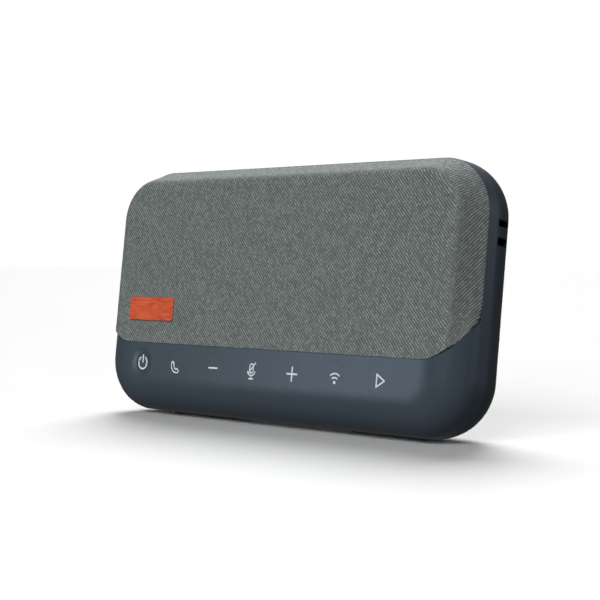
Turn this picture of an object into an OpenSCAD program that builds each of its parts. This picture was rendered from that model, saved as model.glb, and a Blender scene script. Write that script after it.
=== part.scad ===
// Desktop conference speakerphone that stands on its long edge, leaning back.
//
// Every piece is drawn lying on its back: X runs along the length, Y up the
// height of the front, and Z towards the listener, with the front face at
// Z = 0 and the back below it. Depths are therefore negative Z values.
// stand() then sets the whole product on its feet, with the floor at Z = 0.

/* [Body] */
// Length of the casing
body_w = 182; // [170:1:200]
// Height of the casing, measured along its front
body_h = 96; // [92:1:104]
// Thickness of the casing without the back pad
body_d = 33.2; // [32.8:0.2:36]
// Corner radius of the outline, seen from the front
corner_r = 20.5; // [19:0.5:24]
// Radius of the front edge along the control strip
front_r = 11.5; // [9:0.5:12]
// Depth of the seam between the front housing and the rear cover
seam = 16; // [15.5:0.1:16.4]
// Thickness of the casing walls
wall = 2.2; // [2:0.1:2.4]
// Angle that the casing leans back by
lean = 7; // [4:0.5:9]

/* [Grille] */
// Height of the control strip below the fabric
strip_h = 26.4; // [25.5:0.1:28]
// Width of the slope round the fabric, seen from the front
slope_w = 5.2; // [4:0.2:7]
// Depth of that slope
slope_d = 11.1; // [10:0.1:11.4]
// Corner radius of the fabric where it meets the control strip
skirt_r = 16; // [12:0.5:18]
// Thickness of the fabric
fabric_t = 0.8; // [0.6:0.1:1]
// Thickness of the frame under the fabric
frame_t = 1.8; // [1.4:0.1:2]

/* [Keys] */
// Distance between neighbouring keys
key_pitch = 20.9; // [19:0.1:21.5]
// Distance of the first key from the left end
key_start = 24.3; // [23:0.1:27]
// Height of the key centres above the lower edge
key_rise = 18.2; // [17.6:0.1:18.6]
// Radius of a key
key_r = 5.7; // [5:0.1:5.8]
// Gap all round a key
key_gap = 0.15; // [0.12:0.01:0.2]
// Key travel
key_travel = 0.5; // [0.3:0.1:0.5]

/* [Sound] */
// Radius of the driver's opening
driver_r = 18; // [15:0.5:18.5]
// Distance of a passive radiator from the middle
radiator_x = 40; // [39.5:0.5:41]
// Width of a passive radiator's frame
radiator_w = 28; // [24:1:28]
// Height of a passive radiator's frame
radiator_h = 50; // [44:1:52]

/* [Stand] */
// Distance of a foot's centre from the middle
foot_x = 48; // [40:1:56]
// Length of a foot
foot_w = 34; // [30:1:44]
// How far the feet lift the casing off the floor
foot_lift = 0.7; // [0.5:0.1:1.2]
// How far the back pad stands out of the rear cover
pad_proud = 0.8; // [0.6:0.1:1]

/* [Hidden] */
$fn = 48;
eps = 0.01;
half_w = body_w / 2;
half_h = body_h / 2;
rear_r = body_d - seam;
inner_back = body_d - wall;

// The fabric covers everything above this line, apart from its lower corners.
skirt_y = strip_h - half_h;
slope_edge = 0.1;
slope_rate = (slope_w - slope_edge) / slope_d;
baffle_t = 2;
baffle_back = slope_d + baffle_t;
divider_t = 1.4;
pocket_gap = 0.15;

key_x0 = key_start - half_w;
key_y = key_rise - half_h;
KEYS = ["power", "call", "volume_down", "microphone", "volume_up", "wireless", "play"];
key_flange_r = key_r + 0.5;
key_flange_t = 0.8;
plunger_end = 4.4;
icon_depth = 0.5;
icon_line = 0.66;
dish_depth = 0.5;

board_t = 1.2;
key_board_z = 5.6;
key_board_top = skirt_y - pocket_gap - divider_t - 0.6;
key_board_h = 13.4;
key_post_x = [-56.2, 6.5, 48.2];
key_post_y = key_y - 2.6;

box_w = 116;
box_low = -19;
box_high = 39.5;
box_back = 27;
box_wall = 1.6;
box_gasket = 0.8;
sound_y = (box_low + box_high) / 2;
ear_at = [[61, 5], [-61, 5], [30, 41.4], [-30, 41.4]];
lead_hole = [8, -13.5];

case_screw_at = [for (x = [-63, 63], y = [-16, 22]) [x, y]];
case_pillar_end = 25.8;
pad_w = 140;
pad_h = 57;
pad_r = 12;
pad_recess = 0.6;

main_w = 96;
main_low = -12;
main_high = 34;
main_z = 28.2;
main_screw_at = [for (x = [-44, 44], y = [-8, 30]) [x, y]];

usb_z = 20;
usb_mouth = 89.8;
usb_board_z = usb_z + 1.63;
usb_screw_at = [[-76, -6], [-76, 6]];

mic_at = [-76, 76];
mic_y = 34;

// The cord loop at the right end: two short slots, and a bar between them.
loop_low = 18.4;
loop_high = 27.2;
loop_slot = [2.8, 2.3];
loop_near = 16.6;
loop_far = 25;

battery_x = -12;
battery_y = -33;
battery_z = 18.5;
battery_r = 9.25;
battery_l = 67;

// Row frame: the floor under the feet is Z = 0, and the origin is the middle of the
// product's footprint box.
low_reach = max(
    (half_h - front_r) * cos(lean) + front_r * sin(lean) + front_r,
    (half_h - rear_r) * cos(lean) + seam * sin(lean) + rear_r);
floor_s = low_reach + foot_lift;
front_reach = front_r * cos(lean) - (half_h - front_r) * sin(lean) - front_r;
back_reach = max(
    (half_h - rear_r) * sin(lean) + seam * cos(lean) + rear_r,
    pad_h / 2 * sin(lean) + (body_d + pad_proud) * cos(lean));
mid_y = (front_reach + back_reach) / 2;

navy = [0.16, 0.19, 0.23];
dark = [0.11, 0.13, 0.16];
black = [0.06, 0.06, 0.07];
board_green = [0.05, 0.22, 0.14];
steel = [0.72, 0.73, 0.75];

// ---------------------------------------------------------------- placing

module stand() {
    translate([0, -mid_y, floor_s])
        rotate([90 - lean, 0, 0])
            children();
}

// Extrudes a flat outline from one depth to a deeper one.
module between(near, far) {
    translate([0, 0, -far])
        linear_extrude(far - near)
            children();
}

module rod(r, near, far) {
    translate([0, 0, -far])
        cylinder(r = r, h = far - near);
}

// ---------------------------------------------------------------- outlines

module quarter(r) {
    intersection() {
        circle(r);
        square(r);
    }
}

module rounded_rect(w, h, r) {
    square([w - 2 * r, h], center = true);
    square([w, h - 2 * r], center = true);
    for (x = [-1, 1], y = [-1, 1])
        translate([x * (w / 2 - r), y * (h / 2 - r)])
            circle(r);
}

module stadium(w, h) {
    square([w, h - w], center = true);
    for (y = [-1, 1])
        translate([0, y * (h - w) / 2])
            circle(w / 2);
}

// The product's outline, drawn in from its edge.
module outline(inset) {
    rounded_rect(body_w - 2 * inset, body_h - 2 * inset, corner_r - inset);
}

module outline_ring(outer, inner) {
    difference() {
        outline(outer);
        outline(inner);
    }
}

// The area that the fabric covers, drawn outwards by grow.
module fabric_area(grow) {
    r = skirt_r + grow;
    low = skirt_y - grow;
    top = half_h + 10;
    translate([-half_w - grow, low + r])
        square([body_w + 2 * grow, top - low - r]);
    translate([-half_w + skirt_r, low])
        square([body_w - 2 * skirt_r, top - low]);
    for (x = [-1, 1])
        translate([x * (half_w - skirt_r), low + r])
            circle(r);
}

// ---------------------------------------------------------------- sections

// Section through the front edge, drawn in from the surface by inset. X is the
// distance from a corner's centre and Y is minus the depth.
module front_section(inset) {
    translate([0, -seam])
        square([corner_r - inset, seam - front_r]);
    translate([0, -front_r])
        square([corner_r - front_r, front_r - inset]);
    translate([corner_r - front_r, -front_r])
        quarter(front_r - inset);
}

module rear_section(inset) {
    r = rear_r - inset;
    translate([0, -seam - r])
        square([corner_r - rear_r, r]);
    translate([corner_r - rear_r, -seam])
        mirror([0, 1])
            quarter(r);
}

// Section through the slope round the fabric, inset by a thickness t.
module slope_section(t) {
    side = t * sqrt(1 + slope_rate * slope_rate);
    front_u = corner_r - slope_w + t * slope_rate - side;
    back_u = corner_r - slope_edge - side;
    polygon([[0, -t], [front_u, -t], [back_u, -slope_d], [0, -slope_d]]);
}

// Carries a section round the product's outline, and fills the middle.
module round_the_body(near, far) {
    ax = half_w - corner_r;
    ay = half_h - corner_r;
    for (turn = [0, 180])
        rotate([0, 0, turn]) {
            translate([ax, ay, 0])
                rotate([90, 0, 0])
                    linear_extrude(2 * ay)
                        children();
            translate([-ax, ay, 0])
                rotate([90, 0, 90])
                    linear_extrude(2 * ax)
                        children();
        }
    for (x = [-1, 1], y = [-1, 1])
        translate([x * ax, y * ay, 0])
            rotate([0, 0, x > 0 ? (y > 0 ? 0 : 270) : (y > 0 ? 90 : 180)])
                rotate_extrude(angle = 90)
                    children();
    translate([-ax, -ay, -far])
        cube([2 * ax, 2 * ay, far - near]);
}

module front_solid(inset) {
    round_the_body(inset, seam)
        front_section(inset);
}

module rear_solid(inset) {
    round_the_body(seam, body_d - inset)
        rear_section(inset);
}

module grille_solid(t) {
    intersection() {
        round_the_body(t, slope_d)
            slope_section(t);
        between(t, slope_d)
            fabric_area(-t);
    }
}

// ---------------------------------------------------------------- casing

module speaker_openings(grow) {
    translate([0, sound_y])
        circle(driver_r + grow);
    for (x = [-1, 1])
        translate([x * radiator_x, sound_y])
            stadium(radiator_w - 5 + 2 * grow, radiator_h - 5 + 2 * grow);
}

module at_keys() {
    for (i = [0 : len(KEYS) - 1])
        translate([key_x0 + i * key_pitch, key_y, 0])
            children();
}

module at_points(points) {
    for (p = points)
        translate([p[0], p[1], 0])
            children();
}

module front_housing() {
    color(navy)
        difference() {
            union() {
                difference() {
                    front_solid(0);
                    difference() {
                        front_solid(wall);
                        between(0, baffle_back)
                            fabric_area(pocket_gap + divider_t);
                    }
                }
                at_points(case_screw_at)
                    rod(3.2, baffle_back - 0.5, case_pillar_end);
                for (x = key_post_x)
                    translate([x, key_post_y, 0])
                        rod(2, wall - 0.5, key_board_z);
            }
            between(-1, slope_d)
                fabric_area(pocket_gap);
            between(slope_d - 1, baffle_back + 1)
                speaker_openings(0);
            at_keys()
                rod(key_r + key_gap, -1, wall + 1);
            at_points(case_screw_at)
                rod(1.22, seam, case_pillar_end + 1);
            for (x = key_post_x)
                translate([x, key_post_y, 0])
                    rod(0.92, 2.6, key_board_z + 1);
            at_points(ear_at)
                rod(0.92, slope_d + 0.5, baffle_back + 1);
            for (a = [45 : 90 : 315])
                translate([22.5 * cos(a), sound_y + 22.5 * sin(a), 0])
                    rod(0.82, slope_d + 0.5, baffle_back + 1);
            for (x = mic_at)
                translate([x, mic_y, 0])
                    rod(1.7, slope_d - 1, baffle_back + 1);
            between(seam - 0.6, seam + 1)
                outline_ring(0.8, 1.6);
        }
}

// The two slots of the cord loop run in from the right end and meet behind the bar.
module cord_loop_cut() {
    translate([half_w - 5.2, loop_low, -loop_far])
        cube([10, loop_slot[0], loop_far - loop_near]);
    translate([half_w - 5.2, loop_high - loop_slot[1], -loop_far])
        cube([10, loop_slot[1], loop_far - loop_near]);
    translate([half_w - 6.2, loop_low, -loop_far])
        cube([3, loop_high - loop_low, loop_far - loop_near]);
}

module cord_loop_well() {
    intersection() {
        translate([half_w - 7.8, loop_low - 1.6, -loop_far - 1.6])
            cube([7.8, loop_high - loop_low + 3.2, loop_far + 1.6 - seam]);
        rear_solid(0);
    }
}

module usb_outline(grow) {
    rotate(90)
        stadium(3.26 + 2 * grow, 8.94 + 2 * grow);
}

// Sets a flat outline in the left end's side wall: its X runs up the height and its
// Y runs forwards.
module in_left_side(from, to) {
    translate([-from, 0, -usb_z])
        rotate([0, 90, 0])
            rotate([0, 0, 90])
                linear_extrude(from - to)
                    children();
}

module rear_cover() {
    color(dark)
        difference() {
            union() {
                difference() {
                    rear_solid(0);
                    rear_solid(wall);
                }
                between(13.6, seam)
                    outline_ring(wall + 0.1, wall + 1.3);
                between(seam, seam + 2.2)
                    outline_ring(1.6, wall + 1.3);
                cord_loop_well();
                at_points(case_screw_at)
                    rod(4.2, case_pillar_end + 0.1, inner_back + 0.5);
                at_points(main_screw_at)
                    rod(2.5, main_z + board_t, inner_back + 0.5);
                at_points(usb_screw_at)
                    rod(2.2, usb_board_z + board_t, inner_back + 0.5);
            }
            cord_loop_cut();
            between(body_d - pad_recess, body_d + 1)
                rounded_rect(pad_w, pad_h, pad_r);
            at_points(case_screw_at) {
                rod(1.35, case_pillar_end - 1, body_d);
                rod(2.7, inner_back + 0.2, body_d);
            }
            at_points(main_screw_at)
                rod(0.92, main_z, inner_back + 0.8);
            at_points(usb_screw_at)
                rod(0.92, usb_board_z, usb_board_z + 6);
            in_left_side(half_w + 1, half_w - 6)
                usb_outline(0.15);
            in_left_side(half_w + 1, half_w - 1.3)
                usb_outline(1.7);
        }
}

module case_gasket() {
    color(black)
        between(seam - 0.6, seam)
            outline_ring(0.8, 1.6);
}

module screw(head_r, head_t, shank_r, shank_l) {
    rod(shank_r, -shank_l, 0);
    difference() {
        rod(head_r, 0, head_t);
        translate([0, 0, -head_t])
            for (turn = [0, 90])
                rotate([0, 0, turn])
                    cube([head_r, head_r * 0.24, head_t * 0.9], center = true);
    }
}

module screws(points, depth, head_r, head_t, shank_r, shank_l) {
    color(steel)
        at_points(points)
            translate([0, 0, -depth])
                screw(head_r, head_t, shank_r, shank_l);
}

// A screw whose head faces the listener and whose shank runs to the back.
module screws_from_front(points, depth, head_r, head_t, shank_r, shank_l) {
    color(steel)
        at_points(points)
            translate([0, 0, -depth])
                rotate([180, 0, 0])
                    screw(head_r, head_t, shank_r, shank_l);
}

module case_screws() {
    screws(case_screw_at, inner_back + 0.2, 2.5, 1.2, 1.2, 14);
}

module rear_pad() {
    color(black)
        between(body_d - pad_recess, body_d + pad_proud)
            rounded_rect(pad_w - 0.2, pad_h - 0.2, pad_r - 0.1);
}

// A rubber wedge between the rear cover's rounded lower edge and the floor.
module stand_foot(x) {
    near = seam + 2;
    far = 28;
    floor_near = (near * sin(lean) - floor_s) / cos(lean);
    floor_far = (far * sin(lean) - floor_s) / cos(lean);
    color(black)
        difference() {
            translate([x + foot_w / 2, 0, 0])
                rotate([90, 0, -90])
                    linear_extrude(foot_w)
                        polygon([
                            [-floor_near, -near],
                            [-floor_far, -far],
                            [-floor_far - 4.8, -far],
                            [half_h - 4, -near]
                        ]);
            rear_solid(0);
        }
}

// ---------------------------------------------------------------- grille

module grille_frame() {
    pitch = 4.4;
    color(black)
        difference() {
            grille_solid(fabric_t);
            grille_solid(fabric_t + frame_t);
            intersection() {
                between(0, fabric_t + frame_t + 1)
                    for (col = [-19 : 19], line = [-5 : 5])
                        translate([
                            (col + (line % 2 == 0 ? 0 : 0.5)) * pitch,
                            sound_y + line * pitch * 0.87
                        ])
                            circle(1.3, $fn = 16);
                between(0, fabric_t + frame_t + 1)
                    speaker_openings(1);
            }
            for (x = mic_at)
                translate([x, mic_y, 0])
                    rod(0.8, 0, fabric_t + frame_t + 1);
        }
}

module grille_fabric() {
    color([0.42, 0.44, 0.43])
        difference() {
            grille_solid(0);
            grille_solid(fabric_t);
        }
}

module fabric_tag() {
    color([0.85, 0.25, 0.12])
        translate([-63.3, -8.5, 0])
            between(-0.7, 0)
                rounded_rect(26, 9.2, 0.9);
}

// ---------------------------------------------------------------- keys

module bar(from, to, w) {
    d = to - from;
    translate(from)
        rotate(atan2(d[1], d[0])) {
            translate([0, -w / 2])
                square([norm(d), w]);
            circle(w / 2, $fn = 16);
            translate([norm(d), 0])
                circle(w / 2, $fn = 16);
        }
}

module bars(points, w = icon_line) {
    for (i = [0 : len(points) - 2])
        bar(points[i], points[i + 1], w);
}

// Part of a ring between two angles under half a turn apart.
module ring_arc(r, from, to, w = icon_line) {
    far = 3 * r;
    intersection() {
        difference() {
            circle(r + w / 2);
            circle(r - w / 2);
        }
        polygon([
            [0, 0],
            far * [cos(from), sin(from)],
            far * [cos((from + to) / 2), sin((from + to) / 2)],
            far * [cos(to), sin(to)]
        ]);
    }
}

module icon_power_shape() {
    ring_arc(2.45, 120, 240);
    ring_arc(2.45, 240, 300);
    ring_arc(2.45, 300, 420);
    bar([0, 0.3], [0, 3.1], icon_line);
}

// A telephone handset in outline.
module icon_call_shape() {
    rotate(-45) {
        ring_arc(2.9, 205, 335, 0.5);
        ring_arc(1.5, 215, 325, 0.5);
        for (side = [-1, 1])
            bars([
                [side * 1.2, -1.2], [side * 1.35, -0.6],
                [side * 2.5, -0.6], [side * 2.7, -1.4]
            ], 0.5);
    }
}

module icon_volume_down_shape() {
    bar([-2.2, 0], [2.2, 0], icon_line);
}

// A microphone with a stroke through it.
module icon_microphone_shape() {
    line = 0.5;
    translate([0, 0.9]) {
        difference() {
            stadium(2.3, 3.9);
            stadium(2.3 - 2 * line, 3.9 - 2 * line);
        }
        translate([0, -0.6])
            ring_arc(2, 190, 350, line);
    }
    bar([0, -1.9], [0, -2.8], line);
    bar([-1.1, -2.9], [1.1, -2.9], line);
    bar([-1.7, -1.1], [1.9, 3], line);
}

module icon_volume_up_shape() {
    bar([-2.4, 0], [2.4, 0], icon_line);
    bar([0, -2.4], [0, 2.4], icon_line);
}

// Waves spreading both ways from a dot.
module icon_wireless_shape() {
    translate([0, -1.8]) {
        circle(0.6);
        rotate(90) {
            ring_arc(1.75, -44, 44, 0.55);
            ring_arc(3.15, -44, 44, 0.55);
        }
    }
}

module icon_play_shape() {
    bars([[-1.5, -2.2], [-1.5, 2.2], [2, 0], [-1.5, -2.2]], 0.55);
}

module icon_shape(i) {
    if (i == 0) icon_power_shape();
    if (i == 1) icon_call_shape();
    if (i == 2) icon_volume_down_shape();
    if (i == 3) icon_microphone_shape();
    if (i == 4) icon_volume_up_shape();
    if (i == 5) icon_wireless_shape();
    if (i == 6) icon_play_shape();
}

// The power key is dished and its icon lies at the bottom of the dish.
function icon_near(i) = i == 0 ? dish_depth + 0.1 : 0;

module key(i) {
    dish_r = (key_r * key_r + dish_depth * dish_depth) / (2 * dish_depth);
    color(navy)
        translate([key_x0 + i * key_pitch, key_y, 0])
            difference() {
                union() {
                    rod(key_r, 0, wall + 0.2 + key_flange_t);
                    rod(key_flange_r, wall + 0.2, wall + 0.2 + key_flange_t);
                    rod(1.5, wall, plunger_end);
                }
                if (i == 0) {
                    translate([0, 0, dish_r - dish_depth])
                        sphere(dish_r, $fn = 96);
                    rod(3.6, -1, icon_near(0));
                }
                between(icon_near(i) - 1, icon_near(i) + icon_depth)
                    icon_shape(i);
            }
}

module icon(i) {
    color("white")
        translate([key_x0 + i * key_pitch, key_y, 0])
            between(icon_near(i), icon_near(i) + icon_depth)
                icon_shape(i);
}

module key_board() {
    color(board_green)
        difference() {
            translate([-77, key_board_top - key_board_h, -key_board_z - board_t])
                cube([146, key_board_h, board_t]);
            for (x = key_post_x)
                translate([x, key_post_y, 0])
                    rod(1.1, key_board_z - 1, key_board_z + board_t + 1);
        }
}

module key_domes() {
    color(steel)
        at_keys() {
            rod(2.2, key_board_z - 0.25, key_board_z);
            rod(1.4, key_board_z - 0.55, key_board_z);
        }
}

module key_lamps() {
    color("white")
        at_keys()
            translate([3.2, -0.4, -key_board_z])
                cube([1.6, 0.8, 0.6]);
}

module key_board_screws() {
    screws([for (x = key_post_x) [x, key_post_y]], key_board_z + board_t, 1.8, 1, 0.9, 4);
}

// A flat ribbon from the key board, back under the sound box, to the main board.
module key_flex() {
    t = 0.2;
    x = 34;
    low = -27.4;
    mid = -20.6;
    turn = baffle_back + 0.6;
    back = main_z - 0.05;
    color([0.75, 0.45, 0.12])
        translate([x, 0, 0]) {
            translate([0, low, -key_board_z - board_t - t])
                cube([8, 3, t]);
            translate([0, low, -turn])
                cube([8, t, turn - key_board_z - board_t]);
            translate([0, low, -turn])
                cube([8, mid - low, t]);
            translate([0, mid - t, -back])
                cube([8, t, back - turn + t]);
            translate([0, mid - t, -back])
                cube([8, main_low + 2 - mid, t]);
        }
}

// ---------------------------------------------------------------- sound

module sound_box_outline(inset) {
    translate([0, sound_y])
        rounded_rect(box_w - 2 * inset, box_high - box_low - 2 * inset, 9 - inset);
}

module sound_box() {
    near = baffle_back + box_gasket;
    color(black)
        difference() {
            union() {
                between(near, box_back)
                    sound_box_outline(0);
                at_points(ear_at)
                    rod(2.8, near, near + 1.8);
                for (x = [-1, 1])
                    translate([x * 59.2, ear_at[0][1], -near - 0.9])
                        cube([3.6, 5.6, 1.8], center = true);
            }
            between(near - 1, box_back - box_wall)
                sound_box_outline(box_wall);
            at_points(ear_at)
                rod(1, near - 1, near + 3);
            translate([lead_hole[0], lead_hole[1], 0])
                rod(0.8, box_back - box_wall - 1, box_back + 1);
        }
}

module sound_box_gasket() {
    color([0.2, 0.2, 0.2])
        between(baffle_back, baffle_back + box_gasket)
            difference() {
                sound_box_outline(0);
                sound_box_outline(box_wall);
            }
}

module sound_box_screws() {
    screws(ear_at, baffle_back + box_gasket + 1.8, 1.8, 1, 0.9, 3.6);
}

// Places a driver piece, drawn as a section whose Y is minus the depth.
module turned() {
    translate([0, sound_y, 0])
        rotate_extrude()
            children();
}

module driver_basket() {
    ear = 22.5;
    color([0.25, 0.25, 0.27])
        difference() {
            union() {
                turned()
                    polygon([
                        [18.2, -13.1], [21, -13.1], [21, -14.9], [19.6, -16.8],
                        [11, -20.5], [8.6, -20.5], [8.6, -19.6], [18.2, -16.2]
                    ]);
                for (a = [45 : 90 : 315])
                    translate([ear * cos(a), sound_y + ear * sin(a), 0])
                        rod(2.6, baffle_back, baffle_back + 1.8);
            }
            for (a = [45 : 90 : 315]) {
                translate([ear * cos(a), sound_y + ear * sin(a), 0])
                    rod(0.9, baffle_back - 1, baffle_back + 3);
                translate([0, sound_y, -17.6])
                    rotate([0, 0, a])
                        translate([14.5, 0, 0])
                            cube([7, 12, 3], center = true);
            }
        }
}

module driver_magnet() {
    color(steel)
        turned() {
            square_at([0, -25], [11, 0.4]);
            square_at([0, -25], [6.2, 4.5]);
            square_at([7.4, -25], [3.6, 4.5]);
        }
}

module square_at(corner, size) {
    translate(corner)
        square(size);
}

module driver_cone() {
    color([0.18, 0.18, 0.19])
        turned()
            polygon([
                [15.6, -13.9], [15.6, -14.5], [7, -19], [7, -23],
                [6.6, -23], [6.6, -18.2], [14.9, -13.9]
            ]);
}

module driver_surround() {
    color(black)
        turned()
            difference() {
                union() {
                    square_at([15.6, -14.3], [2.2, 0.4]);
                    translate([16.7, -13.9])
                        quarter_pair(1.1);
                }
                translate([16.7, -13.9])
                    quarter_pair(0.7);
                square_at([16, -14.4], [1.4, 0.5]);
            }
}

// A half disc, its flat side down.
module quarter_pair(r) {
    quarter(r);
    mirror([1, 0])
        quarter(r);
}

module driver_dust_cap() {
    color([0.1, 0.1, 0.1])
        turned()
            polygon([
                [0, -16.6], [2.6, -16.8], [5, -17.4], [6.6, -18.2],
                [6.6, -18.7], [4.8, -17.8], [2.6, -17.2], [0, -17]
            ]);
}

module driver_screws() {
    screws(
        [for (a = [45 : 90 : 315]) [22.5 * cos(a), sound_y + 22.5 * sin(a)]],
        baffle_back + 1.8, 1.5, 0.8, 0.8, 3);
}

module radiator_frame(side) {
    color([0.25, 0.25, 0.27])
        translate([side * radiator_x, sound_y, 0])
            between(baffle_back, baffle_back + 1.8)
                difference() {
                    stadium(radiator_w, radiator_h);
                    stadium(radiator_w - 5.6, radiator_h - 5.6);
                }
}

module radiator_surround(side) {
    w = radiator_w - 6;
    h = radiator_h - 6;
    color(black)
        translate([side * radiator_x, sound_y, 0])
            difference() {
                union() {
                    between(13.7, 14.3)
                        stadium(w, h);
                    between(12.7, 14.3)
                        stadium(w - 2, h - 2);
                }
                between(13.2, 15)
                    stadium(w - 3, h - 3);
                between(12, 15)
                    stadium(w - 6, h - 6);
            }
}

module radiator_plate(side) {
    color([0.18, 0.18, 0.19])
        translate([side * radiator_x, sound_y, 0])
            between(12.9, 14.3)
                stadium(radiator_w - 12, radiator_h - 12);
}

// ---------------------------------------------------------------- electronics

module main_board() {
    color(board_green)
        difference() {
            translate([-main_w / 2, main_low, -main_z - board_t])
                cube([main_w, main_high - main_low, board_t]);
            at_points(main_screw_at)
                rod(1.1, main_z - 1, main_z + board_t + 1);
        }
}

// Shield can, amplifier, charger, memory and the row of small parts between them.
module main_board_parts() {
    face = -main_z - board_t;
    color([0.3, 0.3, 0.32]) {
        translate([-30, 4, face - 1.4]) cube([20, 20, 1.4]);
        translate([2, 14, face - 1]) cube([9, 9, 1]);
        translate([18, 2, face - 1.1]) cube([7, 7, 1.1]);
        translate([2, -4, face - 0.9]) cube([10, 6, 0.9]);
        for (i = [0 : 6])
            translate([-2 + i * 4.4, 27, face - 0.8]) cube([2, 1.25, 0.8]);
    }
}

module main_board_screws() {
    screws_from_front(main_screw_at, main_z, 1.8, 1, 0.9, 3.4);
}

module battery_cell() {
    color([0.1, 0.35, 0.6])
        translate([battery_x - battery_l / 2, battery_y, -battery_z])
            rotate([0, 90, 0]) {
                cylinder(r = battery_r, h = battery_l);
                translate([0, 0, battery_l])
                    cylinder(r = 3, h = 0.8);
            }
}

module battery_cradle() {
    color(black)
        difference() {
            intersection() {
                translate([battery_x - battery_l / 2 - 1.5, battery_y - 7, -inner_back])
                    cube([battery_l + 4, 14, inner_back - 20.5]);
                rear_solid(wall + 0.02);
            }
            translate([battery_x - battery_l / 2 - 0.1, battery_y, -battery_z])
                rotate([0, 90, 0])
                    cylinder(r = battery_r + 0.05, h = battery_l + 1);
        }
}

function heading(p, i) = (p[i + 1] - p[i]) / norm(p[i + 1] - p[i]);
function turning(p, i) = let(
    a = heading(p, i - 1),
    b = heading(p, i)
) atan2(a[0] * b[1] - a[1] * b[0], a * b);
function eased(p, i, bend) =
    i == 0 || i == len(p) - 1 ? 0 : bend * tan(abs(turning(p, i)) / 2);

// A round wire that follows a flat route, with a rounded bend at each corner.
module wire(route, r, bend) {
    for (i = [0 : len(route) - 2]) {
        d = heading(route, i);
        from = route[i] + d * eased(route, i, bend);
        to = route[i + 1] - d * eased(route, i + 1, bend);
        translate(from)
            rotate([0, 90, atan2(d[1], d[0])])
                cylinder(r = r, h = norm(to - from));
    }
    for (i = [1 : len(route) - 2]) {
        d = heading(route, i - 1);
        t = turning(route, i);
        side = t > 0 ? 1 : -1;
        centre = route[i] - d * eased(route, i, bend) + side * bend * [-d[1], d[0]];
        translate(centre)
            rotate(atan2(d[1], d[0]) - side * 90 + min(t, 0))
                rotate_extrude(angle = abs(t))
                    translate([bend, 0])
                        circle(r);
    }
}

// Turns a flat route so that its X runs up the height and its Y runs to the back.
module upright(x) {
    translate([x, 0, 0])
        rotate([0, 90, 0])
            rotate([0, 0, 90])
                mirror([0, 1, 0])
                    children();
}

module battery_lead() {
    color("red")
        upright(23.2)
            wire([[-33, 18.5], [-21.4, 18.5], [-21.4, 27.6], [-6, 27.6]], 0.55, 1.6);
}

module driver_lead() {
    color("black")
        upright(lead_hole[0])
            wire([
                [-6.5, 17.6], [lead_hole[1], 17.6], [lead_hole[1], 27.6], [-8, 27.6]
            ], 0.5, 1.5);
}

module usb_socket() {
    color(steel)
        in_left_side(usb_mouth, usb_mouth - 7.3)
            difference() {
                usb_outline(0);
                usb_outline(-0.3);
            }
    color(black) {
        in_left_side(usb_mouth - 0.8, usb_mouth - 7.3)
            square([6.7, 0.7], center = true);
        in_left_side(usb_mouth - 6, usb_mouth - 7.3)
            usb_outline(-0.3);
    }
}

module usb_board() {
    color(board_green)
        difference() {
            translate([-86.8, -9, -usb_board_z - board_t])
                cube([14.8, 18, board_t]);
            at_points(usb_screw_at)
                rod(1.1, usb_board_z - 1, usb_board_z + board_t + 1);
        }
}

module usb_board_screws() {
    screws_from_front(usb_screw_at, usb_board_z, 1.8, 1, 0.9, 4.4);
}

module mic_board(x) {
    color(board_green)
        translate([x, mic_y, 0])
            difference() {
                between(14.2, 15)
                    square([9, 6], center = true);
                rod(0.6, 14, 15);
            }
    color(steel)
        translate([x, mic_y, 0])
            between(15, 16)
                square([3.8, 3], center = true);
}

module mic_boot(x) {
    color(black)
        translate([x, mic_y, 0])
            difference() {
                union() {
                    rod(2.4, fabric_t + frame_t, slope_d);
                    rod(1.65, slope_d - 0.5, 14.2);
                }
                rod(0.6, 0, 15);
            }
}

// ---------------------------------------------------------------- nodes

stand() {
    front_housing();
    rear_cover();
    case_gasket();
    case_screws();
    rear_pad();
    stand_foot(-foot_x);  // stand_foot_left
    stand_foot(foot_x);  // stand_foot_right
    grille_frame();
    grille_fabric();
    fabric_tag();
    for (i = [0 : len(KEYS) - 1]) {
        key(i);
        icon(i);
    }
    key_board();
    key_domes();
    key_lamps();
    key_board_screws();
    key_flex();
    sound_box();
    sound_box_gasket();
    sound_box_screws();
    driver_basket();
    driver_magnet();
    driver_cone();
    driver_surround();
    driver_dust_cap();
    driver_screws();
    driver_lead();
    for (side = [-1, 1]) {
        end = side < 0 ? "_left" : "_right";
        radiator_frame(side);
        radiator_surround(side);
        radiator_plate(side);
        mic_board(side * mic_at[1]);
        mic_boot(side * mic_at[1]);
    }
    main_board();
    main_board_parts();
    main_board_screws();
    battery_cell();
    battery_cradle();
    battery_lead();
    usb_socket();
    usb_board();
    usb_board_screws();
}
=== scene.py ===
import math

import bmesh
import bpy
import numpy as np
from mathutils import Matrix, Vector


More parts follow.
